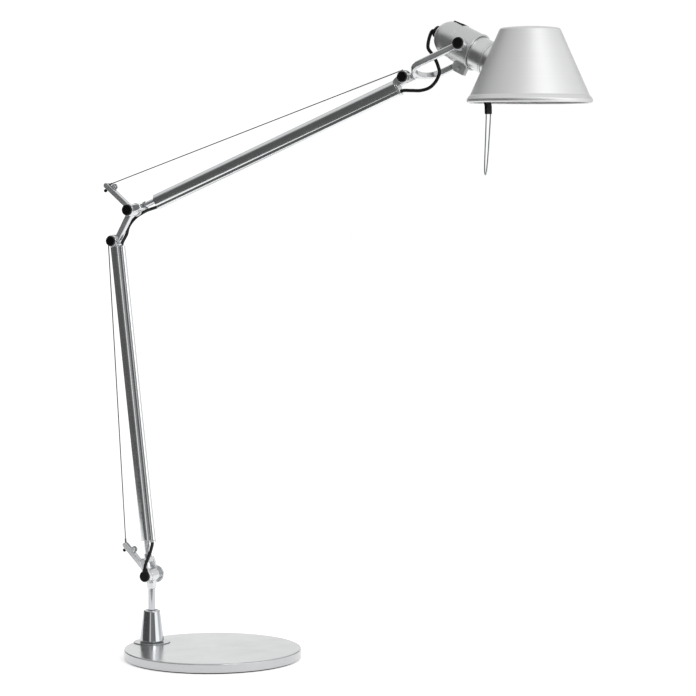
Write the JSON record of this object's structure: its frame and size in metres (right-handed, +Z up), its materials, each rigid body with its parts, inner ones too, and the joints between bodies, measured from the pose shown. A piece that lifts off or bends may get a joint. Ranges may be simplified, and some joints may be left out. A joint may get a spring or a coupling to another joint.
{
  "type": "architect desk lamp",
  "caption": "Desk lamp on a round weighted base: swivelling post, two spring-balanced tube arms with outside cables, fork-held head and a turning cone shade.",
  "frame": {"origin": "centre of the round base, on the table", "axes": "+Z up; the arms work in the XZ plane and reach forward along +X; the tilt axis of the head runs roughly along Y"},
  "size_m": [0.5997, 0.2, 0.7107],
  "materials": {
    "base_aluminium": "satin anodised",
    "polished_aluminium": "polished, clear anodised",
    "tube_aluminium": "polished extrusion, clear anodised",
    "shade_aluminium": "satin brushed, anodised",
    "head_paint": "satin silver paint",
    "cast_weight": "raw",
    "steel": "zinc plated",
    "black_plastic": "fine grained",
    "black_rubber": "matt",
    "porcelain": "glazed white porcelain",
    "bulb_brass": "bright",
    "bulb_glass": "frosted inside"
  },
  "bodies": {
    "base": {"base_cover": "base_aluminium", "base_weight": "cast_weight", "foot_pad": "black_rubber", "socket_plate": "base_aluminium", "socket_cone": "polished_aluminium"},
    "post": {"support_post": "polished_aluminium", "base_knuckle": "polished_aluminium", "base_lever_wheel": "steel", "base_cable_stop": "black_plastic"},
    "lower_arm": {"lower_tube": "tube_aluminium", "lower_foot": "polished_aluminium", "lower_foot_nut": "steel", "lower_spring": "steel", "lower_channel_ring": "tube_aluminium", "base_friction_screw": "polished_aluminium", "base_cap": "black_plastic", "elbow_bracket": "polished_aluminium", "lower_pulley": "steel", "lower_pulley_bolt": "polished_aluminium", "lower_pulley_cap": "black_plastic", "elbow_lever_wheel": "steel", "elbow_cable_stop": "black_plastic", "lead_gland": "black_rubber", "lead_at_base": "black_rubber"},
    "upper_arm": {"upper_tube": "tube_aluminium", "upper_foot": "polished_aluminium", "upper_foot_ring": "steel", "upper_spring": "steel", "elbow_friction_screw": "polished_aluminium", "elbow_cap": "black_plastic", "upper_end_fitting": "polished_aluminium", "upper_pulley": "steel", "upper_pulley_bolt": "polished_aluminium", "upper_pulley_cap": "black_plastic", "upper_channel_ring": "tube_aluminium", "lead_at_elbow": "black_rubber", "lead_to_fork": "black_rubber"},
    "lower_cable": {"lower_cable": "steel"},
    "upper_cable": {"upper_cable": "steel"},
    "fork": {"fork": "polished_aluminium", "tilt_knob_near": "black_plastic", "tilt_knob_far": "black_plastic"},
    "head": {"lamp_housing": "head_paint", "cord_grip": "black_rubber", "clamp_collar": "head_paint", "clamp_screw": "steel", "lead_to_head": "black_rubber"},
    "switch": {"rocker_switch": "black_plastic"},
    "shade": {"shade": "shade_aluminium", "lampholder_cup": "shade_aluminium", "ceramic_socket": "porcelain", "socket_nut": "steel", "bulb_cap": "bulb_brass", "bulb_glass": "bulb_glass", "handle_wire": "steel", "handle_sleeve": "black_plastic"}
  },
  "joints": [
    {"name": "post_swivel", "type": "hinge", "parent": "base", "child": "post", "pos_m": [-0.0804, 0, 0.06], "axis": [0, 0, 1], "range_deg": [-170, 170]},
    {"name": "lower_hinge", "type": "hinge", "parent": "post", "child": "lower_arm", "pos_m": [-0.0804, 0, 0.0892], "axis": [0, 1, 0], "range_deg": [-12, 45]},
    {"name": "lower_cable_turn", "type": "hinge", "parent": "post", "child": "lower_cable", "pos_m": [-0.1147, 0, 0.1213], "axis": [0, 1, 0], "range_deg": [-14, 51], "deforming": ["lower_cable"]},
    {"name": "elbow_hinge", "type": "hinge", "parent": "lower_arm", "child": "upper_arm", "pos_m": [-0.10376, 0, 0.50598], "axis": [0, -1, 0], "range_deg": [-65, 60], "deforming": ["lead_at_elbow"]},
    {"name": "upper_cable_turn", "type": "hinge", "parent": "lower_arm", "child": "upper_cable", "pos_m": [-0.13736, 0, 0.53348], "axis": [0, -1, 0], "range_deg": [-63, 58], "deforming": ["upper_cable"]},
    {"name": "fork_swivel", "type": "hinge", "parent": "upper_arm", "child": "fork", "pos_m": [0.25142, 0, 0.65194], "axis": [0.9245, 0, 0.3811], "range_deg": [-90, 90], "deforming": ["lead_to_fork"]},
    {"name": "head_tilt", "type": "hinge", "parent": "fork", "child": "head", "pos_m": [0.31799, 0, 0.67938], "axis": [0.0792, 0.9781, -0.1922], "range_deg": [-45, 60], "deforming": ["lead_to_head"]},
    {"name": "shade_turn", "type": "hinge", "parent": "head", "child": "shade", "pos_m": [0.31799, 0, 0.67938], "axis": [0.8987, -0.1535, -0.4109], "range_deg": [-150, 150]},
    {"name": "switch_rock", "type": "hinge", "parent": "head", "child": "switch", "pos_m": [0.30393, 0.00604, 0.7043], "axis": [0.0792, 0.9781, -0.1922], "range_deg": [-5, 5]}
  ],
  "couplings": [
    {"joint": "lower_cable_turn", "follows": "lower_hinge", "ratio": 1.0977},
    {"joint": "upper_cable_turn", "follows": "elbow_hinge", "ratio": 0.9414}
  ]
}
